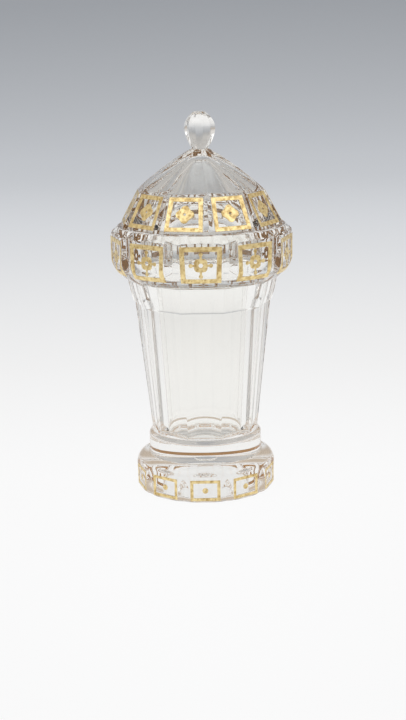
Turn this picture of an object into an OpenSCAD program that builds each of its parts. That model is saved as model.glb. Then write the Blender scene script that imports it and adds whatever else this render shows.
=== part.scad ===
// Covered goblet of heavy cut glass with gilded panels, sizes in millimetres.
// The frame has +Z up, the origin under the middle of the foot, and a panel facing -Y.

/* [Cut panels] */
// Number of cut panels around the goblet
panel_count = 10; // [8:2:14]
// Angle of the V grooves between the panels
groove_angle = 124; // [110:1:140]
// Thickness of the raised gilding
gild_t = 0.15; // [0.1:0.01:0.3]
// Bare glass between a gilt frame and the edge of its panel
gild_margin = 0.3; // [0.1:0.05:0.8]

/* [Foot] */
// Width of the foot across its flats
foot_across = 75.6; // [70:0.1:84]
// Height of the upright panels of the foot
foot_panel_h = 13.5; // [11:0.1:18]
// Width of a foot panel between two grooves
foot_panel_w = 17.1; // [15:0.1:19]
// Radius of the shoulder above the foot panels
foot_shoulder_r = 6.3; // [5:0.1:6.5]
// Height of the upper tip of the foot grooves
foot_groove_h = 12.8; // [11:0.1:13]
// Height over which a foot groove runs out to its tip
foot_groove_run = 5; // [3:0.5:8]
// Height of the turned bevel around the standing edge
foot_bevel_h = 0.9; // [0.4:0.1:0.9]
// Width of that bevel
foot_bevel_w = 1.35; // [0.6:0.05:2]
// Width of the hollow under the foot
foot_hollow_d = 52; // [40:0.5:60]
// Height of the upright side of the hollow under the foot
foot_hollow_side_h = 13; // [8:0.5:14]
// Depth of the hollow under the foot
foot_hollow_depth = 17; // [15:0.5:19]
// Width of the polished spot in the hollow
pontil_d = 8; // [5:0.5:12]
// Depth of the polished spot above the hollow
pontil_depth = 0.5; // [0.3:0.1:1]
// Height of the gilt foot frames above the table
foot_frame_z = 1; // [0.9:0.1:2]
// Bare glass above the gilt foot frames
foot_frame_gap = 0.7; // [0.3:0.1:1.5]
// Band width of the gilt foot frames
foot_band = 1.7; // [1:0.1:2.5]
// Width of the gilt spot on a foot panel
foot_spot_d = 3.2; // [2:0.1:4.5]

/* [Bowl] */
// Width of the turned ledge under the bowl
ledge_d = 63.4; // [62:0.1:64.4]
// Height of the upright side of the ledge
ledge_h = 11.2; // [8:0.1:15]
// Height of the slope from the ledge to the bowl
ledge_slope_h = 2; // [1:0.1:4]
// Width of the root by which the ledge runs up the bowl's facets
ledge_root_w = 1.7; // [1:0.1:2]
// Height of that root
ledge_root_h = 4; // [2:0.1:8]
// Width of the bowl across its flats at the ledge
bowl_base_across = 56.4; // [54:0.1:58]
// Width of the bowl across its flats under the crease
bowl_neck_across = 71.4; // [66:0.1:76]
// Height of the straight bowl facets
bowl_side_h = 72.5; // [60:0.5:90]
// Step outwards at the crease above the straight facets
crease_step = 0.6; // [0.2:0.05:1]
// Height over which the crease steps outwards
crease_rise = 0.7; // [0.3:0.1:1.2]
// Height of the flare from the crease to the collar
flare_h = 14.5; // [10:0.5:20]
// Width of the flare across its flats under the collar
flare_across = 79; // [77.5:0.1:81]
// Radius of the flare's outward swell
flare_r = 60; // [40:1:120]
// Height of the bowl's inner floor above the foot
floor_rise = 10.3; // [9:0.1:14]
// Width of the bowl's inside at its floor
bore_floor_d = 46; // [36:0.5:48]
// Width of the bowl's inside at the crease
bore_neck_d = 53.2; // [46:0.2:60]
// Radius between the floor and the side of the bowl's inside
bore_floor_r = 4; // [0.5:0.5:8]

/* [Collar] */
// Width of the collar across its panels
collar_across = 97.4; // [94:0.1:104]
// Width of a collar panel between two grooves
collar_panel_w = 23.1; // [20:0.1:25]
// Height of the widest point of the swell above the collar's base
collar_swell_z = 14.5; // [12:0.1:16]
// Radius of the swell under the collar panels
collar_swell_r = 16.5; // [16:0.1:22]
// Height of the upright part of the collar panels
collar_upright_h = 10.2; // [8:0.1:14]
// Height of the slope from the panels to the rim
shoulder_h = 4.3; // [3:0.1:6]
// Width of the turned rim
rim_d = 92; // [91:0.1:95]
// Height of the gilt collar frames above the collar's base
collar_frame_z = 4.2; // [3.6:0.1:6]
// Bare glass above the gilt collar frames
collar_frame_gap = 0.8; // [0.4:0.1:2]
// Lower width of the gilt collar frames as a share of their upper width
collar_frame_taper = 0.94; // [0.88:0.01:1]
// Band width of the gilt collar frames
collar_band = 2.6; // [1.5:0.1:3.5]
// Width of the round middle of a collar blossom
blossom_d = 8; // [6:0.1:9]
// Width of the bare eye of a collar blossom
blossom_eye_d = 2.3; // [1.5:0.1:3]
// Width over the side arms of a collar blossom
blossom_w = 12.8; // [10:0.1:14]
// Height over the upper and lower arms of a collar blossom
blossom_h = 14; // [10:0.1:14.4]
// Width of the drop at the end of each blossom arm
blossom_tip_d = 2.2; // [1.5:0.1:3]
// Width of the blossom arms
blossom_arm_w = 1.2; // [0.8:0.1:1.8]

/* [Lid] */
// Turn of the lid from the bowl's front panel
lid_turn = -12; // [-18:1:18]
// Width of the lid across its flats at the rim
lid_across = 87.2; // [84:0.1:88.4]
// Height of the upright edge of the lid
lid_edge_h = 0.8; // [0.4:0.1:1.5]
// Height of the lid up to the top of its panels
lid_panel_h = 19; // [16:0.1:22]
// Width of the lid across its flats at the top of its panels
lid_break_across = 67.8; // [64:0.1:70]
// Height of the plain facets from the panels to the knop
lid_crown_h = 21.7; // [20:0.1:26]
// Radius of the gentle bulge of those facets
lid_crown_r = 160; // [100:5:400]
// Width of the lid across its flats under the knop
lid_neck_across = 10.4; // [10:0.1:12]
// Width of a lid panel at the rim
lid_panel_rim_w = 21.7; // [19:0.1:23]
// Width of a lid panel at its top
lid_panel_top_w = 18.6; // [15:0.1:19.2]
// Bare glass under the gilt lid frames, along the slope
lid_frame_low_gap = 1.2; // [0.8:0.1:3]
// Bare glass above the gilt lid frames, along the slope
lid_frame_top_gap = 0.3; // [0.2:0.1:2]
// Band width of the gilt lid frames
lid_band = 2.4; // [1.5:0.1:3.2]
// Width of the round middle of a lid rosette
rosette_d = 8; // [5:0.1:9]
// Width of the bare eye of a lid rosette
rosette_eye_d = 1.3; // [0.8:0.1:2]
// Width of each of the four petals of a lid rosette
petal_d = 4.4; // [2.5:0.1:5]
// Distance of the petals from the middle of a lid rosette
petal_reach = 2.8; // [2:0.1:3.6]
// Outer width of the flange that seats in the mouth
flange_d = 72; // [66:0.1:74]
// Depth of the flange below the rim
flange_h = 14; // [8:0.1:18]
// Wall of the flange
flange_t = 4.5; // [3:0.1:6]
// Gap all round between the flange and the mouth
flange_clearance = 0.4; // [0.3:0.05:0.8]
// Room under the flange before the bowl's inside narrows
mouth_room = 3; // [1:0.5:6]
// Height of the upright inside of the lid above the rim
lid_hollow_side_h = 6; // [4:0.5:8]
// Width of the lid's inside where its side meets its crown
lid_hollow_break_d = 55.5; // [48:0.5:57]
// Height of that break above the rim
lid_hollow_break_h = 16; // [12:0.5:17]
// Height of the lid's inside above the rim
lid_hollow_h = 31.5; // [26:0.1:33]
// Width of the flat top of the lid's inside
lid_hollow_top_d = 8; // [4:0.5:12]

/* [Knop] */
// Width of the knop across its flats at its widest
knop_across = 17; // [15:0.1:20]
// Height of the widest point above the neck
knop_wide_z = 11.8; // [11:0.1:14]
// Height of the knop
knop_h = 20.3; // [18:0.1:24]
// Width of the flat top of the knop
knop_top_across = 5.3; // [4:0.1:7]
// Width of the neck under the knop
knop_neck_across = 8.8; // [8:0.1:9.8]
// Radius of the lower curve of the knop
knop_low_r = 40; // [20:1:100]
// Radius of the upper curve of the knop
knop_top_r = 14; // [11:0.5:40]

/* [Hidden] */
$fn = 72;
half_pitch = 180 / panel_count;
gold = [0.86, 0.68, 0.26];
glass = [0.88, 0.92, 0.93, 0.45];

// Turned glass left standing past the corners of the cut panels
corner_room = 0.25;

// Half widths across the flats
foot_p = foot_across / 2;
bowl_base_p = bowl_base_across / 2;
bowl_neck_p = bowl_neck_across / 2;
flare_p = flare_across / 2;
collar_p = collar_across / 2;
lid_p = lid_across / 2;
lid_break_p = lid_break_across / 2;
lid_neck_p = lid_neck_across / 2;
knop_p = knop_across / 2;

// Heights above the table
foot_h = foot_panel_h + foot_shoulder_r;
ledge_top_z = foot_h + ledge_h;
bowl_z = ledge_top_z + ledge_slope_h;
crease_z = bowl_z + bowl_side_h;
collar_z = crease_z + flare_h;
swell_z = collar_z + collar_swell_z;
panel_top_z = swell_z + collar_upright_h;
rim_z = panel_top_z + shoulder_h;
lid_break_z = rim_z + lid_panel_h;
neck_z = lid_break_z + lid_crown_h;
flange_z = rim_z - flange_h;
mouth_z = flange_z - mouth_room;
floor_z = foot_h + floor_rise;

// Radii of the turned outsides, past the corners of the cut panels
foot_r = norm([foot_p, foot_panel_w / 2]) + corner_room;
ledge_r = ledge_d / 2;
collar_r = norm([collar_p, collar_panel_w / 2]) + corner_room;
rim_r = rim_d / 2;

// Radii of the round insides
mouth_r = flange_d / 2 + flange_clearance;
flange_in_r = flange_d / 2 - flange_t;
bore_floor_p = bore_floor_d / 2;
bore_neck_p = bore_neck_d / 2;
hollow_rise = foot_hollow_depth - foot_hollow_side_h;
hollow_dome_r = (pow(foot_hollow_d / 2, 2) + pow(hollow_rise, 2)) / (2 * hollow_rise);

// Flat steps in a gently bulging side
arc_steps = 5;

// Room that cutting shapes run past the faces they cut
over = 1;

// Depth of the cutting shape of a groove, deeper than any groove and short of its neighbour
groove_cut = 5;
reach = collar_p / cos(half_pitch) + over;

// Radius of the bottom line of a groove beside a panel of this half width across flats and this width
function valley_r(p, w) =
    p * cos(half_pitch) + w / 2 * sin(half_pitch)
    - (p * sin(half_pitch) - w / 2 * cos(half_pitch)) / tan(groove_angle / 2);

// Middle of the arc of radius r from a to b that bulges to the right of the way there
function arc_middle(a, b, r) =
    let (d = b - a, half = norm(d) / 2)
    (a + b) / 2 + sqrt(r * r - half * half) / (2 * half) * [-d[1], d[0]];

// Points from a to b, both included, on that arc
function bulge(a, b, r) =
    let (middle = arc_middle(a, b, r), turn = 2 * asin(norm(b - a) / 2 / r))
    let (start = atan2(a[1] - middle[1], a[0] - middle[0]))
    [for (k = [0 : arc_steps]) middle + r * [cos(start + turn * k / arc_steps), sin(start + turn * k / arc_steps)]];

// Solid with flat sides all round from an outline drawn on both sides of the axis
module faceted() {
    intersection_for (k = [0 : panel_count / 2 - 1])
        rotate([0, 0, 2 * half_pitch * k])
            rotate([90, 0, 90])
                linear_extrude(2 * reach, center = true)
                    children();
}

// Outline on both sides of the axis from the points of its right side, listed upwards
module both_sides(points) {
    last = len(points) - 1;
    polygon(concat(points, [for (k = [0 : last]) [-points[last - k][0], points[last - k][1]]]));
}

// Copies of a cutting shape on every ridge between two panels, drawn on +X
module on_ridges() {
    for (k = [0 : panel_count - 1])
        rotate([0, 0, half_pitch * (2 * k + 1) - 90])
            children();
}

// Straight V groove whose bottom line runs from one radius and height to another
module straight_groove(low, high) {
    lean = atan2(low[0] - high[0], high[1] - low[1]);
    half_w = groove_cut * tan(groove_angle / 2);
    translate([low[0], 0, low[1]])
        rotate([0, -lean, 0])
            linear_extrude(norm(high - low))
                polygon([[0, 0], [groove_cut, -half_w], [groove_cut, half_w]]);
}

// Shape on the panel that faces -Y, drawn as width and height
module panel_stencil() {
    rotate([90, 0, 0])
        linear_extrude(reach)
            children();
}

// Four sided frame with its own lower and upper widths and one band width
module frame_shape(low_w, top_w, low_z, top_z, band) {
    difference() {
        polygon([[-low_w / 2, low_z], [low_w / 2, low_z], [top_w / 2, top_z], [-top_w / 2, top_z]]);
        polygon([
            [-low_w / 2 + band, low_z + band],
            [low_w / 2 - band, low_z + band],
            [top_w / 2 - band, top_z - band],
            [-top_w / 2 + band, top_z - band]
        ]);
    }
}

// Prism with flat sides at this half width across flats, between two heights
module panel_prism(p, low, high) {
    faceted() both_sides([[p, low], [p, high]]);
}

// Turned outside of the foot on the right side of the axis
module foot_turned() {
    difference() {
        polygon([[0, 0], [foot_r - foot_bevel_w, 0], [foot_r, foot_bevel_h], [foot_r, foot_h], [0, foot_h]]);
        translate([foot_r - foot_shoulder_r, foot_panel_h])
            difference() {
                square(foot_shoulder_r + over);
                circle(foot_shoulder_r);
            }
    }
}

// Groove of the foot that runs out under the shoulder
module foot_groove() {
    turn = [valley_r(foot_p, foot_panel_w), foot_groove_h - foot_groove_run];
    run_out = [foot_r - turn[0], foot_groove_run];
    straight_groove([turn[0], -over], turn);
    straight_groove(turn, turn + 2 * run_out);
}

// Turned ledge under the bowl with the root that runs up the facets
module ledge() {
    root = bowl_base_p + ledge_root_w;
    rotate_extrude()
        polygon([
            [0, foot_h],
            [ledge_r, foot_h],
            [ledge_r, ledge_top_z],
            [root, bowl_z],
            [bowl_base_p, bowl_z + ledge_root_h],
            [0, bowl_z + ledge_root_h]
        ]);
}

// Facets of the bowl on both sides of the axis
module bowl_outline() {
    crease = [bowl_neck_p + crease_step, crease_z + crease_rise];
    both_sides([
        [bowl_base_p, bowl_z],
        [bowl_neck_p, crease_z],
        each bulge(crease, [flare_p, collar_z], flare_r)
    ]);
}

// Turned outside of the collar on the right side of the axis
module collar_turned(grow = 0) {
    r = collar_r + grow;
    difference() {
        polygon([[0, collar_z], [r, collar_z], [r, panel_top_z], [rim_r, rim_z], [0, rim_z]]);
        translate([collar_r - collar_swell_r, swell_z])
            difference() {
                translate([0, -collar_swell_z - over])
                    square([collar_swell_r + grow + over, collar_swell_z + over]);
                circle(collar_swell_r + grow);
            }
    }
}

// Round inside of the bowl, the collar's mouth included
module bore() {
    rotate_extrude() {
        polygon([
            [0, floor_z + bore_floor_r],
            [bore_floor_p, floor_z + bore_floor_r],
            [bore_neck_p, crease_z],
            [mouth_r, mouth_z],
            [mouth_r, rim_z + over],
            [0, rim_z + over]
        ]);
        translate([0, floor_z]) square([bore_floor_p - bore_floor_r, bore_floor_r]);
        intersection() {
            translate([bore_floor_p - bore_floor_r, floor_z + bore_floor_r]) circle(bore_floor_r);
            translate([0, floor_z]) square([bore_floor_p, bore_floor_r]);
        }
    }
}

// Outside of the lid on both sides of the axis
module lid_outline() {
    both_sides(concat(
        [[lid_p, rim_z], [lid_p, rim_z + lid_edge_h]],
        bulge([lid_break_p, lid_break_z], [lid_neck_p, neck_z], lid_crown_r)
    ));
}

// Slope of the lid panels: their run, length and lean from upright
lid_slope = [lid_p - lid_break_p, lid_panel_h - lid_edge_h];
lid_slope_l = norm(lid_slope);
lid_lean = atan2(lid_slope[0], lid_slope[1]);

// Domed hollow under the foot, with the polished spot in its top
module hollow() {
    intersection() {
        translate([0, 0, -over]) cylinder(h = foot_hollow_depth + over, d = foot_hollow_d);
        translate([0, 0, foot_hollow_depth - hollow_dome_r]) sphere(hollow_dome_r);
    }
    cylinder(h = foot_hollow_depth + pontil_depth, d = pontil_d);
}

module foot() {
    color(glass)
        difference() {
            intersection() {
                panel_prism(foot_p, 0, foot_h);
                rotate_extrude() foot_turned();
            }
            on_ridges() foot_groove();
            hollow();
        }
}

module bowl() {
    color(glass)
        difference() {
            union() {
                ledge();
                faceted() bowl_outline();
            }
            bore();
        }
}

module rim_collar() {
    valley = valley_r(collar_p, collar_panel_w);
    color(glass)
        difference() {
            intersection() {
                panel_prism(collar_p, collar_z, rim_z);
                rotate_extrude() collar_turned();
            }
            on_ridges() straight_groove([valley, collar_z - over], [valley, rim_z + over]);
            bore();
        }
}

// Round inside of the lid, the flange's bore included
module lid_hollow() {
    top_z = rim_z + lid_hollow_h;
    rotate_extrude()
        polygon([
            [0, flange_z - over],
            [flange_in_r, flange_z - over],
            [flange_in_r, rim_z + lid_hollow_side_h],
            [lid_hollow_break_d / 2, rim_z + lid_hollow_break_h],
            [lid_hollow_top_d / 2, top_z],
            [0, top_z]
        ]);
}

module lid_dome() {
    low = [valley_r(lid_p, lid_panel_rim_w), rim_z];
    high = [valley_r(lid_break_p, lid_panel_top_w), lid_break_z];
    run = high - low;
    color(glass)
        rotate([0, 0, lid_turn])
            difference() {
                union() {
                    faceted() lid_outline();
                    translate([0, 0, flange_z]) cylinder(h = flange_h + over, d = flange_d);
                }
                on_ridges() straight_groove(low - run * groove_cut / lid_panel_h, high + run);
                lid_hollow();
            }
}

module lid_knop() {
    wide = [knop_p, neck_z + knop_wide_z];
    low = bulge([knop_neck_across / 2, neck_z], wide, knop_low_r);
    high = bulge(wide, [knop_top_across / 2, neck_z + knop_h], knop_top_r);
    color(glass)
        rotate([0, 0, lid_turn])
            faceted()
                both_sides(concat(low, [for (k = [1 : arc_steps]) high[k]]));
}

// Gilding of the foot panel that faces -Y
module foot_gilding() {
    w = foot_panel_w - 2 * gild_margin;
    top = foot_panel_h - foot_frame_gap;
    color(gold)
        translate([0, -foot_p, 0])
            panel_sheet() {
                frame_shape(w, w, foot_frame_z, top, foot_band);
                translate([0, (foot_frame_z + top) / 2]) circle(d = foot_spot_d);
            }
}

// Gilding of the collar panel that faces -Y
module collar_gilding() {
    low_z = collar_z + collar_frame_z;
    top_z = panel_top_z - collar_frame_gap;
    low_w = collar_panel_w * collar_frame_taper - 2 * gild_margin;
    top_w = collar_panel_w - 2 * gild_margin;
    color(gold)
        intersection() {
            difference() {
                collar_front(gild_t);
                collar_front(0);
            }
            panel_stencil() {
                frame_shape(low_w, top_w, low_z, top_z, collar_band);
                translate([0, (low_z + top_z) / 2]) blossom();
            }
        }
}

// Collar with one flat panel that faces -Y, grown outwards
module collar_front(grow) {
    intersection() {
        rotate_extrude() collar_turned(grow);
        translate([-reach, -collar_p - grow, collar_z]) cube([2 * reach, 2 * reach, rim_z - collar_z]);
    }
}

// Blossom of a round middle with a bare eye and four arms that end in drops
module blossom() {
    difference() {
        union() {
            circle(d = blossom_d);
            for (size = [[blossom_w, blossom_arm_w], [blossom_arm_w, blossom_h]])
                square(size - [for (s = size) s > blossom_arm_w ? blossom_tip_d : 0], center = true);
            for (side = [-1, 1]) {
                translate([side * (blossom_w - blossom_tip_d) / 2, 0]) circle(d = blossom_tip_d);
                translate([0, side * (blossom_h - blossom_tip_d) / 2]) circle(d = blossom_tip_d);
            }
        }
        circle(d = blossom_eye_d);
    }
}

// Gilding of the lid panel that faces -Y, before the lid's turn
module lid_gilding() {
    low = lid_frame_low_gap;
    top = lid_slope_l - lid_frame_top_gap;
    low_w = width_on_slope(low);
    top_w = width_on_slope(top);
    color(gold)
        rotate([0, 0, lid_turn])
            translate([0, -lid_p, rim_z + lid_edge_h])
                rotate([-lid_lean, 0, 0])
                    panel_sheet() {
                        frame_shape(low_w, top_w, low, top, lid_band);
                        translate([0, (low + top) / 2]) rosette();
                    }
}

// Width left for a lid frame at a distance up the slope
function width_on_slope(s) =
    lid_panel_rim_w + (lid_panel_top_w - lid_panel_rim_w) * s / lid_slope_l - 2 * gild_margin;

// Sheet of gilding that stands on the plane that faces -Y
module panel_sheet() {
    rotate([90, 0, 0])
        linear_extrude(gild_t)
            children();
}

// Rosette of a round middle with a bare eye and four petals
module rosette() {
    difference() {
        union() {
            circle(d = rosette_d);
            for (k = [0 : 3])
                rotate(90 * k) translate([petal_reach, 0]) circle(d = petal_d);
        }
        circle(d = rosette_eye_d);
    }
}

foot();
bowl();
rim_collar();
lid_dome();
lid_knop();
for (k = [1 : panel_count])
    rotate([0, 0, 2 * half_pitch * (k - 1)]) {
        foot_gilding();
        collar_gilding();
        lid_gilding();
    }
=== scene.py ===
import cmath
import math

import bpy
from bpy.props import FloatProperty, FloatVectorProperty, PointerProperty
from bpy.types import Operator, Panel, PropertyGroup
from mathutils import Matrix, Vector


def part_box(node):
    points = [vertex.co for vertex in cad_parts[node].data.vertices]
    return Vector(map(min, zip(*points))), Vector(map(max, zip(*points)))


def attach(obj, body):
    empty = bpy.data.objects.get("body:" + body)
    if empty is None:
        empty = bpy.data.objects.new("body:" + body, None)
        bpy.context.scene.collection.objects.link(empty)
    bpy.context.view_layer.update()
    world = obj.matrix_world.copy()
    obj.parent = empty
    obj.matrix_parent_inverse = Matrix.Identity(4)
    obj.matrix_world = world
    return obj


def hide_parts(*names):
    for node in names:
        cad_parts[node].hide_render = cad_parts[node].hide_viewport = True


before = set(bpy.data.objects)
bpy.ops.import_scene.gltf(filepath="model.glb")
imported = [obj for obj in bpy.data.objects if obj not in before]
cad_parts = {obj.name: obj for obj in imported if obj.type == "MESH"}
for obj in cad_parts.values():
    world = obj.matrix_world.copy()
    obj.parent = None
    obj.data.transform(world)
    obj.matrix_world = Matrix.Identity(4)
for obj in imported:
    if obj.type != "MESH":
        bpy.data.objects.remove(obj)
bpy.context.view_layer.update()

bl_info = {
    "name": "Covered Pokal",
    "version": (1, 0, 0),
    "blender": (4, 5, 0),
    "location": "View3D > Sidebar > Pokal",
    "description": "Cut and gilded pokal with its lid, on a pale studio sweep",
    "category": "Object",
}

MM = 0.001

# Levels and half widths across the flats, taken from the solids
FOOT_P, FOOT_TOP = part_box("foot")[1].yz
FLARE_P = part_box("bowl")[1].y
COLLAR_P, RIM_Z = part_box("rim_collar")[1].yz
COLLAR_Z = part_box("rim_collar")[0].z
FLANGE_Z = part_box("lid_dome")[0].z
NECK_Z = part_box("lid_dome")[1].z
TOP_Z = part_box("lid_knop")[1].z

# Ten cut panels round the glass, with a groove or a ridge between them
PANELS = 10
PITCH = math.tau / PANELS
HALF = PITCH / 2
GROOVE_SPREAD = math.tan(math.radians(62))

# Radius far outside the glass, for no groove and for no turned limit
FAR = 1.0

# Columns of points across a panel and across the groove or ridge beside it
FLAT_COLUMNS = 7
RIDGE_COLUMNS = 9
COLUMNS = PANELS * (RIDGE_COLUMNS + FLAT_COLUMNS)

# Distance past a panel's corner over which a groove that has run out becomes an eased ridge
RUN_OUT = 0.3 * MM

# Most that an easing takes of a groove's flank, of a half width and of the way to the next corner
FLANK_SHARE = 0.45
WIDTH_SHARE = 0.06
CORNER_SHARE = 0.999

# Places along an easing, and the weight of large faces in the shading
EASE_STEPS = (0, 0.25, 0.5, 0.75, 1)
FLAT_WEIGHT = 50

# Easings of the beaker's edges that no setting names
STANDING_EASE = 0.4 * MM
BEVEL_EASE = 0.2 * MM
LEDGE_FOOT_EASE = 0.4 * MM
NECK_EASE = 0.15 * MM
CREASE_EASE = 0.25 * MM
FLARE_EASE = 0.3 * MM
COLLAR_EASE = 0.3 * MM
LIP_EASE = 0.5 * MM
SPOT_EASE = 0.25 * MM
DOME_EASE = 1.5 * MM
MOUTH_EASE = 1.5 * MM
BORE_EASE = 2 * MM

# Easings of the lid's edges
SEAT_EASE = 0.2 * MM
LID_EDGE_EASE = 0.3 * MM
BREAK_EASE = 0.35 * MM
LID_NECK_EASE = 0.4 * MM
KNOP_EASE = 3 * MM
KNOP_TOP_EASE = 0.9 * MM
INSIDE_TOP_EASE = 2 * MM
INSIDE_BREAK_EASE = 2.5 * MM
FLANGE_EASE = 0.8 * MM
FLANGE_ROOT_EASE = 0.3 * MM

# Level strip where two outlines meet, and the small steps under the collar and the knop
STRIP = 1.5 * MM
FLARE_STEP = 0.3 * MM
COLLAR_STEP = 0.5 * MM
NECK_STEP = 0.25 * MM
KNOP_STEP = 0.3 * MM

# Difference below which two levels count as one
HAIR = 0.01 * MM

# Innermost ring of the polished spot, the floor and the two flat tops, as a share of the radius
SPOT_MIDDLE = 0.4
FLOOR_MIDDLE = 0.05
TOP_MIDDLE = 0.3

# Steps round the foot's shoulder, up the collar's swell and over the hollow's dome
SHOULDER_STEPS = 14
SWELL_STEPS = 20
DOME_STEPS = 28


def size(name, millimetres, description):
    """A length that the user can change, in metres."""
    return FloatProperty(
        name=name, description=description, default=millimetres * MM, unit="LENGTH", precision=5
    )


def angle(name, degrees, description):
    """An angle that the user can change, in radians."""
    return FloatProperty(name=name, description=description, default=math.radians(degrees), subtype="ANGLE")


def colour(name, default, description):
    """A colour that the user can change."""
    return FloatVectorProperty(
        name=name, description=description, default=default, subtype="COLOR", min=0, max=1
    )


def share(name, default, description):
    """A share between nothing and all."""
    return FloatProperty(name=name, description=description, default=default, min=0, max=1, subtype="FACTOR")


class PokalBeakerSizes(PropertyGroup):
    """Sizes of the foot, the bowl and the collar."""

    arris: size("Arris", 0.28, "How far a cut edge is eased on each side")
    corner_room: size("Corner room", 0.25, "Turned glass left standing past the corners of the cut panels")
    foot_panel_h: size("Foot panel height", 13.5, "Height of the upright panels of the foot")
    foot_panel_w: size("Foot panel width", 17.1, "Width left between two grooves of the foot")
    foot_shoulder: size("Foot shoulder", 6.3, "Radius of the shoulder over the foot's panels")
    foot_bevel_h: size("Bevel height", 0.9, "Height of the turned bevel round the standing edge")
    foot_bevel_w: size("Bevel width", 1.35, "Width of that bevel")
    hollow_d: size("Hollow diameter", 52.0, "Diameter of the hollow under the foot")
    hollow_side_h: size("Hollow side", 13.0, "Upright part of the hollow's wall")
    hollow_h: size("Hollow height", 17.0, "Height of the domed hollow over the table")
    spot_d: size("Polished spot", 8.0, "Diameter of the polished spot at the top of the hollow")
    spot_depth: size("Spot depth", 0.5, "How far the polished spot is ground into the dome")
    groove_tip: size("Groove tip", 12.8, "Height of the upper tip of the foot's grooves")
    groove_run: size("Groove run", 5.0, "Height over which a groove of the foot runs out to its tip")
    ledge_d: size("Ledge diameter", 63.4, "Diameter of the turned ledge")
    ledge_h: size("Ledge height", 11.2, "Height of the upright part of the ledge")
    ledge_slope_h: size("Ledge slope", 2.0, "Height of the slope from the ledge to the bowl")
    ledge_root_w: size("Root width", 1.7, "Width of the root that the ledge runs up the bowl's panels")
    ledge_root_h: size("Root height", 4.0, "Height of that root")
    ledge_ease: size("Ledge easing", 0.8, "How far the ledge's upper edge is eased")
    bowl_base_across: size("Bowl base across", 56.4, "Width of the bowl across its flats, low")
    bowl_neck_across: size("Bowl neck across", 71.4, "Width of the bowl across its flats at the crease")
    bowl_side_h: size("Bowl side", 72.5, "Height of the bowl's long panels")
    crease_step: size("Crease step", 0.6, "Step outward at the crease under the flare")
    crease_rise: size("Crease rise", 0.7, "Height over which the crease steps outward")
    flare_r: size("Flare radius", 60.0, "Radius of the flare under the collar")
    floor_rise: size("Floor rise", 10.3, "Height of the inside floor over the foot")
    bore_floor_d: size("Bore at floor", 46.0, "Inside diameter at the floor")
    bore_neck_d: size("Bore at crease", 53.2, "Inside diameter at the crease")
    bore_corner: size("Floor corner", 4.0, "Radius between the floor and the wall inside")
    mouth_d: size("Mouth diameter", 72.8, "Inside diameter of the mouth")
    mouth_h: size("Mouth depth", 17.0, "Depth of the straight mouth that takes the lid's flange")
    swell_z: size("Swell height", 14.5, "Height of the collar's swell over its lower edge")
    swell_r: size("Swell radius", 16.5, "Radius of the collar's swell")
    collar_panel_w: size("Collar panel width", 23.1, "Width left between two grooves of the collar")
    upright_h: size("Collar upright", 10.2, "Height of the upright part of the collar's panels")
    rim_d: size("Rim diameter", 92.0, "Outside diameter of the turned rim")
    rim_ease: size("Rim easing", 1.2, "How far the edge between the collar and the rim is eased")


class PokalLidSizes(PropertyGroup):
    """Sizes of the lid and its knop."""

    turn: angle("Turn", -12, "Turn of the lid in the mouth")
    seat: size("Seat", 0.12, "Air between the rim and the lid that rests on it")
    across: size("Lid across", 87.2, "Width of the lid across its flats")
    edge_h: size("Lid edge", 0.8, "Height of the upright edge")
    panel_h: size("Panel top", 19.0, "Height of the panels' upper edge over the rim")
    break_across: size("Break across", 67.8, "Width across the flats where the panels meet the crown")
    panel_rim_w: size("Panel width low", 21.7, "Width left between two grooves at the rim")
    panel_top_w: size("Panel width high", 18.6, "Width left between two grooves at the break")
    crown_r: size("Crown radius", 160.0, "Radius of the gentle bulge of the crown's facets")
    neck_across: size("Neck across", 10.4, "Width of the crown under the knop")
    flange_d: size("Flange diameter", 72.0, "Outside diameter of the flange in the mouth")
    flange_t: size("Flange wall", 4.5, "Thickness of the flange")
    inside_side_h: size("Inside side", 6.0, "Upright part of the lid's inside over the rim")
    inside_break_d: size("Inside break", 55.5, "Diameter of the lid's inside where its side meets its crown")
    inside_break_h: size("Inside break height", 16.0, "Height of that break over the rim")
    inside_h: size("Inside height", 31.5, "Height of the lid's inside over the rim")
    inside_top_d: size("Inside top", 8.0, "Diameter of the flat top of the lid's inside")
    knop_neck_across: size("Knop neck", 8.8, "Width of the knop across its flats, low")
    knop_across: size("Knop across", 17.6, "Width of the knop where it is widest")
    knop_wide_z: size("Knop swell", 11.8, "Height of the knop's widest place over its neck")
    knop_top_across: size("Knop top", 5.3, "Width of the flat top")
    knop_low_r: size("Knop lower radius", 40.0, "Radius of the knop's lower part")
    knop_top_r: size("Knop upper radius", 14.0, "Radius of the knop's upper part")


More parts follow.
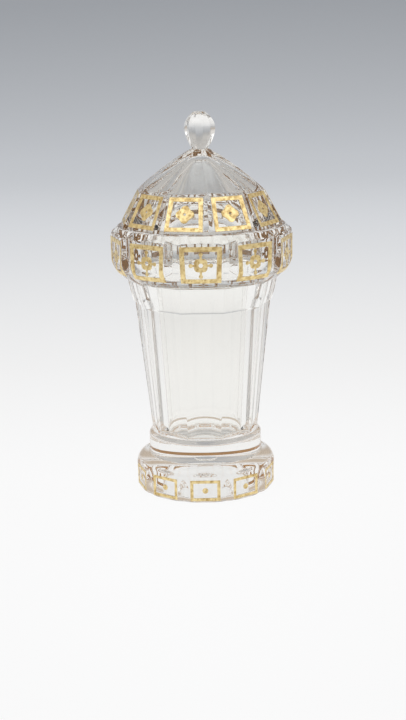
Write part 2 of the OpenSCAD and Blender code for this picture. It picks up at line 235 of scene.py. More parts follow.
class PokalGildingSizes(PropertyGroup):
    """Sizes of the raised gold on the panels."""

    height: size("Height", 0.15, "How far the gold stands on the glass")
    bedding: size("Bedding", 0.03, "How far the gold is fired into the glass")
    margin: size("Margin", 0.3, "Bare glass between a frame and the panel's edge")
    softness: size("Soft edge", 0.14, "Width of the rounded edge of the gold")
    foot_low: size("Foot frame low", 1.0, "Height of the foot frame's lower edge over the table")
    foot_gap: size("Foot frame gap", 0.7, "Bare glass over the foot frame")
    foot_band: size("Foot band", 1.7, "Width of the foot frame's band")
    spot_d: size("Foot spot", 3.2, "Diameter of the spot in the foot frame")
    collar_low: size("Collar frame low", 4.2, "Height of the collar frame over the collar's lower edge")
    collar_gap: size("Collar frame gap", 0.8, "Bare glass over the collar frame")
    collar_band: size("Collar band", 2.6, "Width of the collar frame's band")
    collar_taper: share("Collar frame taper", 0.94, "Share of its upper width that the frame keeps low")
    blossom_d: size("Blossom", 7.0, "Diameter of the blossom's middle")
    blossom_eye_d: size("Blossom eye", 2.3, "Diameter of the bare eye of the blossom")
    blossom_lobe: size("Blossom lobes", 0.55, "How far the four lobes stand out of the middle")
    blossom_w: size("Blossom width", 12.8, "Width over the blossom's side drops")
    blossom_h: size("Blossom height", 14.0, "Height over the blossom's upper and lower drops")
    drop_d: size("Drops", 2.2, "Diameter of the blossom's drops")
    stalk_w: size("Stalks", 1.2, "Width of the stalks that carry the drops")
    lid_low: size("Lid frame low", 1.2, "Bare glass under the lid frame, along the slope")
    lid_gap: size("Lid frame gap", 0.3, "Bare glass over the lid frame, along the slope")
    lid_band: size("Lid band", 2.4, "Width of the lid frame's band")
    rosette_d: size("Rosette", 8.0, "Diameter of the rosette's middle")
    rosette_eye_d: size("Rosette eye", 1.3, "Diameter of the bare eye of the rosette")
    petal_d: size("Petals", 4.4, "Diameter of the rosette's petals")
    petal_reach: size("Petal reach", 2.8, "Distance of the petals from the eye")


class PokalFinishes(PropertyGroup):
    """Colours and surfaces of the glass, the gold and the sweep."""

    glass: colour("Glass", (0.985, 0.982, 0.965), "Colour of the glass")
    glass_cord: colour("Glass cords", (0.965, 0.965, 0.945), "Colour of the faint cords in the glass")
    gold: colour("Gold", (0.95, 0.77, 0.4), "Colour of the bright gold")
    # The deep gold colours the real worn places and the painted shade in the punched pits
    gold_deep: colour("Deep gold", (0.52, 0.35, 0.13), "Colour of the gold in its hollows and worn places")
    ground: colour("Gold ground", (0.9, 0.55, 0.25), "Colour of the gold seen through the glass from behind")
    ground_deep: colour("Deep ground", (0.7, 0.4, 0.16), "Colour of that ground in its clouds")
    gold_rough: share("Gold roughness", 0.28, "Roughness of the gold")
    paper: colour("Paper", (0.86, 0.86, 0.87), "Colour of the sweep's paper under the lamps")
    # Colour of the painted contact shade under the standing edge, warmed as a painted reflection of the gold
    edge_shade: colour("Edge shade", (0.5, 0.37, 0.24), "Colour of the warm shade under the standing edge")


class PokalStageSettings(PropertyGroup):
    """Place of the camera and the shape of the sweep."""

    camera_back: size("Camera distance", 788.2, "Distance of the camera from the axis")
    camera_up: size("Camera height", 266.86, "Height of the camera")
    camera_turn: angle("Camera turn", 0.8, "Turn round the object")
    camera_aim: angle("Camera aim", 0.036, "Turn of the view to the side")
    camera_pitch: angle("Camera pitch", 13.92, "How far the view looks down")
    camera_roll: angle("Camera roll", 1.1, "Lean of the view")
    lens: FloatProperty(
        name="Lens", description="Focal length on a 36 mm sensor", default=72.1, unit="CAMERA"
    )
    flat: size("Flat floor", 1400, "Distance from the axis to the bend of the sweep")
    bend: size("Bend", 600, "Radius of the bend of the sweep")


def quadratic(a, b, c, t):
    """Point on the curve that leaves a towards b and reaches c from b."""
    return (1 - t) ** 2 * a + 2 * t * (1 - t) * b + t**2 * c


def groove_bottom(p, width):
    """Radius of a groove's bottom that leaves panels of this width at half width p across the flats."""
    edge = cmath.rect(1, HALF) * complex(p, -width / 2)
    return edge.real - edge.imag / GROOVE_SPREAD


def ridge_columns(p, valley, spread, arris):
    """Points across one ridge that lies on the real axis, from the panel on its right to that on its left."""
    out = cmath.rect(1, HALF)
    along = 1j * out
    corner = p / math.cos(HALF)
    if valley < corner:
        reach = (out.imag * p - spread * (out.real * p - valley)) / (out.real + spread * out.imag)
        edge = p * out - reach * along
        flank = (edge - valley) / abs(edge - valley)
        ease = min(arris, FLANK_SHARE * abs(edge - valley))
        foot = valley + flank * ease
        bottom = (foot.real + valley) / 2
        side = [foot] + [quadratic(edge - flank * ease, edge, edge + along * ease, t) for t in (0, 0.5, 1)]
    else:
        end = corner + along * arris * min(1, (valley - corner) / RUN_OUT)
        bottom = (end.real + corner) / 2
        side = [quadratic(end.conjugate(), corner, end, t) for t in (0.625, 0.75, 0.875, 1)]
    return [point.conjugate() for point in reversed(side)] + [bottom] + side


def cut_ring(p, z, valley, arris, spread=GROOVE_SPREAD, turn=0.0, within=FAR, beyond=0.0):
    """Level of the cut outside, with the panels at half width p and the grooves down to radius valley.

    The level stays within one turned radius and reaches at least another."""
    columns = ridge_columns(p, valley, spread, min(arris, WIDTH_SHARE * p))
    ring = []
    for k in range(PANELS):
        ridge = cmath.rect(1, turn - math.pi / 2 - HALF + PITCH * k)
        here = [column * ridge for column in columns]
        ahead = columns[0] * ridge * cmath.rect(1, PITCH)
        step = (ahead - here[-1]) / (FLAT_COLUMNS + 1)
        ring += here + [here[-1] + step * (m + 1) for m in range(FLAT_COLUMNS)]
    ring = [point * min(max(abs(point), beyond), within) / abs(point) for point in ring]
    return [(point.real, point.imag, z) for point in ring]


def round_ring(r, z, turn=0.0):
    """Level of a turned surface, with as many points as a cut one."""
    start = turn - math.pi / 2 - HALF - math.tau / COLUMNS * (RIDGE_COLUMNS // 2)
    points = [cmath.rect(r, start + math.tau / COLUMNS * j) for j in range(COLUMNS)]
    return [(point.real, point.imag, z) for point in points]


def eased(run):
    """Outline through points (width, level, easing), with each corner rounded by its easing."""
    points = [complex(*place[:2]) for place in run]
    easings = [place[2] if len(place) > 2 else 0.0 for place in run]
    line = [points[0]]
    for before, corner, after, ease in zip(points, points[1:], points[2:], easings[1:]):
        start = corner + (before - corner) * min(1, ease / abs(before - corner)) * CORNER_SHARE
        end = corner + (after - corner) * min(1, ease / abs(after - corner)) * CORNER_SHARE
        line += [quadratic(start, corner, end, t) for t in (EASE_STEPS if ease else (0,))]
    line.append(points[-1])
    return [(point.real, point.imag) for point in line]


def bulge(a, b, radius, steps):
    """Arc from a to b, both (width, level), that swells to the right of the way."""
    a, b = complex(*a), complex(*b)
    way = b - a
    middle = (a + b) / 2 + 1j * way / abs(way) * math.sqrt(radius**2 - (abs(way) / 2) ** 2)
    sweep = cmath.phase((b - middle) / (a - middle))
    points = [middle + (a - middle) * cmath.rect(1, sweep * k / steps) for k in range(steps + 1)]
    return [(point.real, point.imag) for point in points]


def straight(a, b, steps):
    """Points from a to b, both (width, level), without the two ends."""
    return [tuple(u + (v - u) * k / steps for u, v in zip(a, b)) for k in range(1, steps)]


def loft(name, rings, wrapped, material):
    """Closed mesh over rings of equally many points, joined end to end or closed at both ends."""
    count = len(rings[0])
    points = [point for ring in rings for point in ring]
    faces = []
    spans = range(len(rings) if wrapped else len(rings) - 1)
    for i in spans:
        for j in range(count):
            low, low_next = i * count + j, i * count + (j + 1) % count
            high = (i + 1) % len(rings) * count
            faces.append((low, low_next, high + (j + 1) % count, high + j))
    if not wrapped:
        last = (len(rings) - 1) * count
        for first, order in ((0, -1), (last, 1)):
            ring = points[first:first + count]
            points.append(tuple(sum(values) / count for values in zip(*ring)))
            pole = len(points) - 1
            for j in range(count):
                edge = (first + j, first + (j + 1) % count)[::order]
                faces.append((*edge, pole))
    mesh = bpy.data.meshes.new(name)
    mesh.from_pydata(points, [], faces)
    mesh.validate()
    mesh.polygons.foreach_set("use_smooth", [True] * len(mesh.polygons))
    mesh.materials.append(material)
    piece = bpy.data.objects.new(name, mesh)
    bpy.context.scene.collection.objects.link(piece)
    flats = piece.modifiers.new("flat panels", "WEIGHTED_NORMAL")
    flats.weight = FLAT_WEIGHT
    return piece


def collar_turned(sizes, z, grow=0.0):
    """Turned radius of the collar at a level, grown outward."""
    swell_z = COLLAR_Z + sizes.swell_z
    panel_top = swell_z + sizes.upright_h
    radius = math.hypot(COLLAR_P, sizes.collar_panel_w / 2) + sizes.corner_room
    if z < swell_z:
        return radius - sizes.swell_r + math.sqrt((sizes.swell_r + grow) ** 2 - (z - swell_z) ** 2)
    return radius + grow - (radius - sizes.rim_d / 2) * max(0, (z - panel_top) / (RIM_Z - panel_top))


def bowl_foot(sizes):
    """Level over the ledge where the bowl's long panels start."""
    return FOOT_TOP + sizes.ledge_h + sizes.ledge_slope_h


def bowl_lean(sizes):
    """Share of their height by which the bowl's long panels lean outward."""
    return (sizes.bowl_neck_across - sizes.bowl_base_across) / 2 / sizes.bowl_side_h


def foot_rings(sizes):
    """Levels of the foot and the ledge: a turned form with flat panels and grooves cut into the foot."""
    radius = math.hypot(FOOT_P, sizes.foot_panel_w / 2) + sizes.corner_room
    bevel = radius - sizes.foot_bevel_w
    round_r, panel_top = sizes.foot_shoulder, sizes.foot_panel_h
    inside = radius - round_r
    angles = [math.pi / 2 * k / SHOULDER_STEPS for k in range(1, SHOULDER_STEPS)]
    ledge, ledge_top = sizes.ledge_d / 2, FOOT_TOP + sizes.ledge_h
    base_p, base_z = sizes.bowl_base_across / 2, bowl_foot(sizes)
    root = (base_p + sizes.ledge_root_w, base_z)
    root_top = (base_p, base_z + sizes.ledge_root_h)
    turned = eased([
        (bevel - STRIP, 0),
        (bevel, 0, STANDING_EASE),
        (radius, sizes.foot_bevel_h, BEVEL_EASE),
        *straight((radius, sizes.foot_bevel_h), (radius, panel_top), steps=9),
        (radius, panel_top),
        *[(inside + round_r * math.cos(a), panel_top + round_r * math.sin(a)) for a in angles],
        (inside, FOOT_TOP),
        (ledge, FOOT_TOP, LEDGE_FOOT_EASE),
        *straight((ledge, FOOT_TOP), (ledge, ledge_top), steps=3),
        (ledge, ledge_top, sizes.ledge_ease),
        (*root, sizes.ledge_ease),
        *straight(root, root_top, steps=16),
        root_top,
    ])
    deep = groove_bottom(FOOT_P, sizes.foot_panel_w)
    lean = bowl_lean(sizes)
    rings = []
    for r, z in turned:
        if z < FOOT_TOP - HAIR:
            rise = max(0, z - sizes.groove_tip + sizes.groove_run) / sizes.groove_run
            valley = deep + rise * (radius - deep)
            rings.append(cut_ring(FOOT_P, z, valley, sizes.arris, within=r))
        else:
            rings.append(cut_ring(base_p + lean * (z - base_z), z, FAR, sizes.arris, beyond=r))
    return rings


def bowl_rings(sizes):
    """Levels of the long panels of the bowl and the flare over their crease."""
    low, root_h = bowl_foot(sizes), sizes.ledge_root_h
    base = (sizes.bowl_base_across / 2 + bowl_lean(sizes) * root_h, low + root_h)
    neck = (sizes.bowl_neck_across / 2, low + sizes.bowl_side_h)
    crease = (neck[0] + sizes.crease_step, neck[1] + sizes.crease_rise)
    end = (FLARE_P, COLLAR_Z - FLARE_STEP)
    line = eased([
        *straight(base, neck, steps=9),
        (*neck, NECK_EASE),
        (*crease, CREASE_EASE),
        *bulge(crease, end, sizes.flare_r, steps=10)[1:-1],
        (*end, FLARE_EASE),
        (FLARE_P + COLLAR_STEP, COLLAR_Z),
    ])
    return [cut_ring(p, z, FAR, sizes.arris) for p, z in line]


def collar_rings(sizes):
    """Levels of the collar: a turned swell and rim with flat panels and grooves cut into it."""
    swell_z = COLLAR_Z + sizes.swell_z
    panel_top = swell_z + sizes.upright_h
    low, radius, rim = collar_turned(sizes, COLLAR_Z), collar_turned(sizes, swell_z), sizes.rim_d / 2
    levels = [COLLAR_Z + sizes.swell_z * k / SWELL_STEPS for k in range(1, SWELL_STEPS)]
    turned = eased([
        (low - COLLAR_STEP, COLLAR_Z),
        (low, COLLAR_Z, COLLAR_EASE),
        *[(collar_turned(sizes, z), z) for z in levels],
        *straight((radius, swell_z), (radius, panel_top), steps=4),
        (radius, panel_top, sizes.rim_ease),
        *straight((radius, panel_top), (rim, RIM_Z), steps=5),
        (rim, RIM_Z, LIP_EASE),
        (rim - STRIP, RIM_Z),
    ])
    valley = groove_bottom(COLLAR_P, sizes.collar_panel_w)
    return [cut_ring(COLLAR_P, z, valley, sizes.arris, within=r) for r, z in turned]


def beaker_hollow(sizes):
    """Outline of the hollow under the foot, from the polished spot down to the standing edge."""
    r, side = sizes.hollow_d / 2, sizes.hollow_side_h
    rise = sizes.hollow_h - side
    dome_r = (r**2 + rise**2) / (2 * rise)
    middle = sizes.hollow_h - dome_r
    spot = sizes.spot_d / 2
    start = math.asin(spot / dome_r)
    stop = math.pi / 2 - math.atan2(side - middle, r)
    angles = [start + (stop - start) * k / DOME_STEPS for k in range(DOME_STEPS + 1)]
    dome = [(dome_r * math.sin(a), middle + dome_r * math.cos(a)) for a in angles]
    top = sizes.hollow_h + sizes.spot_depth
    return eased([
        (SPOT_MIDDLE * spot, top),
        (spot, top, SPOT_EASE),
        (spot, dome[0][1], SPOT_EASE),
        *dome[1:-1],
        (r, side, DOME_EASE),
        (r, 0, LIP_EASE),
        (r + STRIP, 0),
    ])


def beaker_bore(sizes):
    """Outline of the inside of the beaker, from the rim down to the middle of the floor."""
    corner = sizes.bore_corner
    mouth = (sizes.mouth_d / 2, RIM_Z - sizes.mouth_h)
    neck = (sizes.bore_neck_d / 2, bowl_foot(sizes) + sizes.bowl_side_h)
    low = (sizes.bore_floor_d / 2, FOOT_TOP + sizes.floor_rise)
    middle = (FLOOR_MIDDLE * low[0], low[1])
    return eased([
        (mouth[0] + STRIP, RIM_Z),
        (mouth[0], RIM_Z, LIP_EASE),
        (*mouth, MOUTH_EASE),
        *straight(mouth, neck, steps=4),
        (*neck, BORE_EASE),
        *straight(neck, (low[0], low[1] + corner), steps=6),
        (*low, corner),
        *straight(low, middle, steps=5),
        middle,
    ])


def beaker_rings(sizes):
    """Levels of the whole skin of the beaker, from the top of its hollow round to its floor."""
    rings = [round_ring(r, z) for r, z in beaker_hollow(sizes)]
    rings += foot_rings(sizes) + bowl_rings(sizes) + collar_rings(sizes)
    return rings + [round_ring(r, z) for r, z in beaker_bore(sizes)]


def lid_grooves(sizes):
    """Radii of the bottoms of the lid's grooves, at the rim and at the break."""
    low = groove_bottom(sizes.across / 2, sizes.panel_rim_w)
    high = groove_bottom(sizes.break_across / 2, sizes.panel_top_w)
    return low, high


def lid_valley(sizes, p, z):
    """Radius of the bottom of the lid's grooves at a level, drawn in with the lid's lower edge."""
    low, high = lid_grooves(sizes)
    inward = max(0, sizes.across / 2 - p) * (z < RIM_Z + sizes.edge_h / 2)
    return low + (high - low) * (z - RIM_Z) / sizes.panel_h - inward


def lid_spread(sizes):
    """Spread of the lid's grooves on the level, since they lean with the panels."""
    low, high = lid_grooves(sizes)
    return GROOVE_SPREAD * math.cos(math.atan((low - high) / sizes.panel_h))


def lid_outside(sizes):
    """Outline of the lid from the rim up to its neck, as half widths across the flats and levels."""
    p, seat_z = sizes.across / 2, RIM_Z + sizes.seat
    edge = (p, RIM_Z + sizes.edge_h)
    broken = (sizes.break_across / 2, RIM_Z + sizes.panel_h)
    neck = (sizes.neck_across / 2, NECK_Z)
    return eased([
        (p - STRIP, seat_z),
        (p, seat_z, SEAT_EASE),
        (*edge, LID_EDGE_EASE),
        *straight(edge, broken, steps=6),
        (*broken, BREAK_EASE),
        *bulge(broken, neck, sizes.crown_r, steps=15)[1:-1],
        (*neck, LID_NECK_EASE),
        (sizes.knop_neck_across / 2, NECK_Z + NECK_STEP),
    ])


def knop_outside(sizes):
    """Outline of the knop from its neck to its flat top."""
    neck = (sizes.knop_neck_across / 2, NECK_Z + KNOP_STEP)
    wide = (sizes.knop_across / 2, NECK_Z + sizes.knop_wide_z)
    top = (sizes.knop_top_across / 2, TOP_Z)
    low = bulge(neck, wide, sizes.knop_low_r, steps=10)
    high = bulge(wide, top, sizes.knop_top_r, steps=12)
    # The points beside the widest place give way to its easing
    return eased([
        *low[:-3],
        (*wide, KNOP_EASE),
        *high[4:-1],
        (*top, KNOP_TOP_EASE),
        (TOP_MIDDLE * top[0], TOP_Z),
    ])


def lid_inside(sizes):
    """Outline of the lid's inside and its flange, from the middle of the top down and round to the seat."""
    outer, seat_z = sizes.flange_d / 2, RIM_Z + sizes.seat
    inner = outer - sizes.flange_t
    top = (sizes.inside_top_d / 2, RIM_Z + sizes.inside_h)
    side = (inner, RIM_Z + sizes.inside_side_h)
    broken = (sizes.inside_break_d / 2, RIM_Z + sizes.inside_break_h)
    return eased([
        (TOP_MIDDLE * top[0], top[1]),
        (*top, INSIDE_TOP_EASE),
        *straight(top, broken, steps=8),
        (*broken, INSIDE_BREAK_EASE),
        *straight(broken, side, steps=4),
        (*side, FLANGE_EASE),
        (inner, FLANGE_Z, FLANGE_EASE),
        (outer, FLANGE_Z, FLANGE_EASE),
        (outer, seat_z, FLANGE_ROOT_EASE),
        (outer + STRIP, seat_z),
    ])


def lid_rings(sizes):
    """Levels of the whole skin of the lid, from the top of its inside round to the top of its knop."""
    spread, arris = lid_spread(sizes), bpy.context.scene.pokal_beaker.arris
    rings = [round_ring(r, z, sizes.turn) for r, z in lid_inside(sizes)]
    for p, z in lid_outside(sizes):
        rings.append(cut_ring(p, z, lid_valley(sizes, p, z), arris, spread, sizes.turn))
    return rings + [cut_ring(p, z, FAR, arris, turn=sizes.turn) for p, z in knop_outside(sizes)]


# Points in each outline of the gold, and the turn from one petal or drop to the next
LOOP_POINTS = 64
PETALS = 4
PETAL_TURN = math.tau / PETALS

# Half angle within which a drop has its stalk, and the least sine to divide by
STALK_ARC = 1
LEAST_SINE = 1e-6

# Start of a stalk and radius of the closed eye of a drop or spot, as shares of a diameter
STALK_ROOT = 0.46
CLOSED_EYE = 0.04

# Steps across a band of gold, and the most of its width that one soft edge takes
BAND_STEPS = 4
EDGE_SHARE = 0.3

# Shoulder of a soft edge as a share of its width, and its two heights as shares of the gold's
SHOULDER_W = 0.35
SHOULDER_H = 0.75
EDGE_FOOT_H = 0.25


def frame_loop(low_w, top_w, low, top, inset):
    """Outline of a four sided frame, drawn in by inset, as points (across, up)."""
    corners = [
        complex(-low_w / 2 + inset, low + inset),
        complex(low_w / 2 - inset, low + inset),
        complex(top_w / 2 - inset, top - inset),
        complex(-top_w / 2 + inset, top - inset),
    ]
    side = LOOP_POINTS // len(corners)
    loop = []
    for a, b in zip(corners, corners[1:] + corners[:1]):
        loop += [a + (b - a) * k / side for k in range(side)]
    return loop


def star_loop(middle, radius):
    """Outline round a middle whose radius is given for each angle."""
    angles = [math.tau * k / LOOP_POINTS for k in range(LOOP_POINTS)]
    return [middle + cmath.rect(radius(a), a) for a in angles]


def blossom_radius(gild):
    """Radius of the blossom's lobed middle at an angle."""
    return lambda a: gild.blossom_d / 2 + gild.blossom_lobe * math.sin(2 * a) ** 2


def rosette_radius(gild):
    """Radius of the rosette's outline at an angle: four round petals on a round middle."""
    def radius(a):
        off = (a + PETAL_TURN / 2) % PETAL_TURN - PETAL_TURN / 2
        miss = gild.petal_reach * math.sin(off)
        under = (gild.petal_d / 2) ** 2 - miss**2
        petal = gild.petal_reach * math.cos(off) + math.sqrt(under) if under > 0 else 0
        return max(gild.rosette_d / 2, petal)
    return radius


def drop_radius(gild, toward, reach):
    """Radius of a drop's outline, with a stalk that runs toward the blossom."""
    def radius(a):
        off = (a - toward + math.pi) % math.tau - math.pi
        stalk = 0
        if abs(off) < STALK_ARC:
            stalk = min(reach / math.cos(off), gild.stalk_w / 2 / max(abs(math.sin(off)), LEAST_SINE))
        return max(gild.drop_d / 2, stalk)
    return radius


def gilded(outer, inner, gild):
    """Rings of a raised band of gold between two outlines, as points (place, height)."""
    def ring(part, height):
        return [(u + (v - u) * part, height) for u, v in zip(outer, inner)]
    width = min(abs(u - v) for u, v in zip(outer, inner))
    edge = min(EDGE_SHARE, gild.softness / width)
    parts = [edge + (1 - 2 * edge) * k / BAND_STEPS for k in range(BAND_STEPS + 1)]
    foot, shoulder = EDGE_FOOT_H * gild.height, SHOULDER_H * gild.height
    rings = [ring(0, foot), ring(SHOULDER_W * edge, shoulder)]
    rings += [ring(part, gild.height) for part in parts]
    rings += [ring(1 - SHOULDER_W * edge, shoulder), ring(1, foot)]
    bed_steps = BAND_STEPS + 2
    return rings + [ring(k / bed_steps, -gild.bedding) for k in range(bed_steps, -1, -1)]


def frame_rings(gild, low_w, top_w, low, top, band):
    """Rings of a frame of one band width."""
    return gilded(frame_loop(low_w, top_w, low, top, 0), frame_loop(low_w, top_w, low, top, band), gild)


def star_rings(gild, middle, radius, eye):
    """Rings of a flower, drop or spot round an eye."""
    return gilded(star_loop(middle, radius), star_loop(middle, lambda a: eye), gild)


def gild_panel(name, parts, place, turn):
    """Gold of one panel: its parts, each a set of rings, set on the panel by place and turned to it."""
    pieces = []
    spin = Matrix.Rotation(turn, 4, "Z")
    for rings in parts:
        laid = []
        for ring in rings:
            laid.append([tuple(spin @ Vector(place(point.real, point.imag, h))) for point, h in ring])
        piece = loft(name, laid, True, finished("fired_gold", fired_gold))
        piece.data.materials.append(finished("gold_ground", gold_ground))
        bedded = [ring[0][1] < 0 for ring in rings]
        under = [int(here and ahead) for here, ahead in zip(bedded, bedded[1:] + bedded[:1])]
        piece.data.polygons.foreach_set("material_index", [side for side in under for point in rings[0]])
        pieces.append(piece)
    return join(name, pieces)


def join(name, pieces):
    """One object out of several."""
    if len(pieces) > 1:
        with bpy.context.temp_override(active_object=pieces[0], selected_editable_objects=pieces):
            bpy.ops.object.join()
    pieces[0].name = name
    return pieces[0]


class Wire:
    """A value in a material; sums and products of wires add the Math nodes that they need."""

    def __init__(self, bench, socket):
        self.bench = bench
        self.socket = socket

    def math(self, operation, a, b):
        return self.bench.add("ShaderNodeMath", {"operation": operation}, {0: a, 1: b})

    def __add__(self, other):
        return self.math("ADD", self, other)

    __radd__ = __add__

    def __sub__(self, other):
        return self.math("SUBTRACT", self, other)

    def __rsub__(self, other):
        return self.math("SUBTRACT", other, self)

    def __mul__(self, other):
        return self.math("MULTIPLY", self, other)

    __rmul__ = __mul__

    def __truediv__(self, other):
        return self.math("DIVIDE", self, other)

    def __rtruediv__(self, other):
        return self.math("DIVIDE", other, self)

    def __pow__(self, other):
        return self.math("POWER", self, other)

    def __rpow__(self, other):
        return self.math("POWER", other, self)

    def least(self, other):
        return self.math("MINIMUM", self, other)

    def most(self, other):
        return self.math("MAXIMUM", self, other)

    def other(self, name):
        """Another output of the same node."""
        return Wire(self.bench, self.socket.node.outputs[name])


class Bench:
    """The nodes of one material or of the world."""

    def __init__(self, tree):
        self.tree = tree
        tree.nodes.clear()

    def add(self, kind, settings=None, inputs=None, output=0):
        """New node of a kind: its settings first, then the values or wires of its inputs."""
        node = self.tree.nodes.new(kind)
        for key, value in (settings or {}).items():
            if key == "stops":
                self.set_stops(node.color_ramp, value)
            else:
                setattr(node, key, value)
        for key, value in (inputs or {}).items():
            if isinstance(value, Wire):
                self.tree.links.new(value.socket, node.inputs[key])
            else:
                node.inputs[key].default_value = value
        return Wire(self, node.outputs[output]) if len(node.outputs) else None

    def set_stops(self, ramp, stops):
        """Places and colours of a ramp."""
        while len(ramp.elements) < len(stops):
            ramp.elements.new(1.0)
        for element, (place, tone) in zip(ramp.elements, stops):
            element.position = place
            element.color = (*tone, 1)

    def mixed(self, part, a, b):
        """Colour between a and b."""
        return self.add("ShaderNodeMix", {"data_type": "RGBA"}, {0: part, 6: a, 7: b}, 2)


def finished(name, surface):
    """Material of this name, made out of its surface the first time it is asked for."""
    found = bpy.data.materials.get(name)
    if found:
        return found
    material = bpy.data.materials.new(name)
    material.use_nodes = True
    bench = Bench(material.node_tree)
    shader = surface(bench, bpy.context.scene.pokal_finish)
    bench.add("ShaderNodeOutputMaterial", inputs={"Surface": shader})
    return material


# Wear on the standing edge: its height, where the scuffs start and how rough they are
WEAR_H = 0.5 * MM
SCUFFS_FROM = 0.4
SCUFFS_ROUGH = 0.8


def cut_glass(bench, finish):
    """Clear cut glass: faint cords, slightly uneven polish and fine wear on the standing edge."""
    place = bench.add("ShaderNodeTexCoord", output="Object")
    level = bench.add("ShaderNodeSeparateXYZ", inputs={0: place}, output="Z")
    cords = bench.add("ShaderNodeTexNoise", inputs={"Vector": place, "Scale": 60.0, "Detail": 2.0})
    tint = bench.mixed(cords, (*finish.glass, 1), (*finish.glass_cord, 1))
    polish = bench.add("ShaderNodeTexNoise", inputs={"Vector": place, "Scale": 110.0, "Detail": 1.0})
    normal = bench.add("ShaderNodeBump", inputs={"Strength": 1.0, "Distance": 0.000008, "Height": polish})
    scuffs = bench.add("ShaderNodeTexNoise", inputs={"Vector": place, "Scale": 900.0, "Detail": 3.0})
    standing = (1 - level / WEAR_H).most(0).least(1)
    return bench.add("ShaderNodeBsdfPrincipled", inputs={
        "Base Color": tint,
        "Roughness": (scuffs - SCUFFS_FROM).most(0) * standing * SCUFFS_ROUGH,
        "IOR": 1.52,
        "Transmission Weight": 1.0,
        "Normal": normal,
    })


# Clouds of wear on the gold: where they start, how sharp, deep, rough and high they are
WORN_FROM = 0.42
WORN_SHARP = 4.5
WORN_DEEP = 0.75
WORN_ROUGH = 0.12
CLOUD_HEIGHT = 2

# Punched pits in the gold: how wide they are, how dark the painted shade in them is, and how high their bump
# is
PIT_WIDE = 0.36
PIT_SHADE_DARKNESS = 2.8
PIT_HEIGHT = 0.4


def fired_gold(bench, finish):
    """Fired gold: bright on top, darker in worn clouds, with a fine punched grain and painted shade in its
    pits.
    """
    place = bench.add("ShaderNodeTexCoord", output="Object")
    cloud = bench.add("ShaderNodeTexNoise", inputs={"Vector": place, "Scale": 420.0, "Detail": 4.0})
    worn = ((cloud - WORN_FROM) * WORN_SHARP).most(0).least(1)
    punch = bench.add("ShaderNodeTexVoronoi", inputs={"Vector": place, "Scale": 560.0})
    # Painted shade in the punched pits: the deep gold colour where the grain dips
    pit_shade = (PIT_WIDE - punch).most(0) * PIT_SHADE_DARKNESS
    tone = bench.mixed((worn * WORN_DEEP + pit_shade).least(1), (*finish.gold, 1), (*finish.gold_deep, 1))
    normal = bench.add("ShaderNodeBump", inputs={
        "Strength": 1.0,
        "Distance": 0.00016,
        "Height": punch * PIT_HEIGHT + cloud * CLOUD_HEIGHT,
    })
    return bench.add("ShaderNodeBsdfPrincipled", inputs={
        "Base Color": tone,
        "Metallic": 1.0,
        "Roughness": finish.gold_rough + worn * WORN_ROUGH,
        "Normal": normal,
    })


# Roughness of the gold's ground, and what its clouds add
GROUND_ROUGH = 0.5
GROUND_CLOUD_ROUGH = 0.2


def gold_ground(bench, finish):
    """Ground of the gold, seen through the glass from behind: matt brown, darker in its clouds."""
    place = bench.add("ShaderNodeTexCoord", output="Object")
    cloud = bench.add("ShaderNodeTexNoise", inputs={"Vector": place, "Scale": 300.0, "Detail": 3.0})
    tone = bench.mixed(cloud, (*finish.ground, 1), (*finish.ground_deep, 1))
    normal = bench.add("ShaderNodeBump", inputs={"Strength": 0.3, "Distance": 0.00004, "Height": cloud})
    return bench.add("ShaderNodeBsdfPrincipled", inputs={
        "Base Color": tone,
        "Metallic": 0.7,
        "Roughness": GROUND_ROUGH + cloud * GROUND_CLOUD_ROUGH,
        "Normal": normal,
    })


# How a level on the screen becomes light, and the share of a cool tone that goes to green
SCREEN_OFFSET = 0.055
SCREEN_POWER = 2.4
COOL_GREEN = 0.4


def screen_grey(level, cool):
    """Linear colour of a grey given as a share of white on the screen, cooler or warmer by cool."""
    tones = (level, level + cool * COOL_GREEN, level + cool)
    return tuple(((tone + SCREEN_OFFSET) / (1 + SCREEN_OFFSET)) ** SCREEN_POWER for tone in tones)


# Greys by the way along the sweep: white by the object, darkest in the bend, paler up the wall
SWEEP_LENGTH = 3.0
SWEEP_GREYS = (
    (0.0, 0.998, 0.002),
    (0.05, 0.99, 0.002),
    (0.29, 0.948, 0.002),
    (0.76, 0.87, 0.018),
    (1.0, 0.836, 0.026),
    (1.6, 0.748, 0.034),
    (2.15, 0.592, 0.04),
    (2.35, 0.62, 0.0),
    (2.7, 0.72, -0.02),
)

# Shares of the distance to the side, to the front and upward that count as way
SIDE_WAY = 0.5
FRONT_WAY = 0.2
RISE_WAY = 0.9

# What reflections add to two of them, and how much nearer reflections and the glass see the greys
SIDE_WAY_GLOSSY = 0.9
FRONT_WAY_GLOSSY = 0.6
NEARER = 0.35

# Share of the sweep's own tone that the camera sees, and that reflections and the glass see
CAMERA_TONE = 0.92
GLASS_TONE = 0.74

# Painted warm shade on the floor under the standing edge, a painted contact shadow tinted as a painted
# reflection of the gold: its radius, width, reach in widths and strength
EDGE_SHADE_R = 31.5 * MM
EDGE_SHADE_W = 4 * MM
EDGE_SHADE_REACH = 1.5
EDGE_SHADE_PART = 0.8


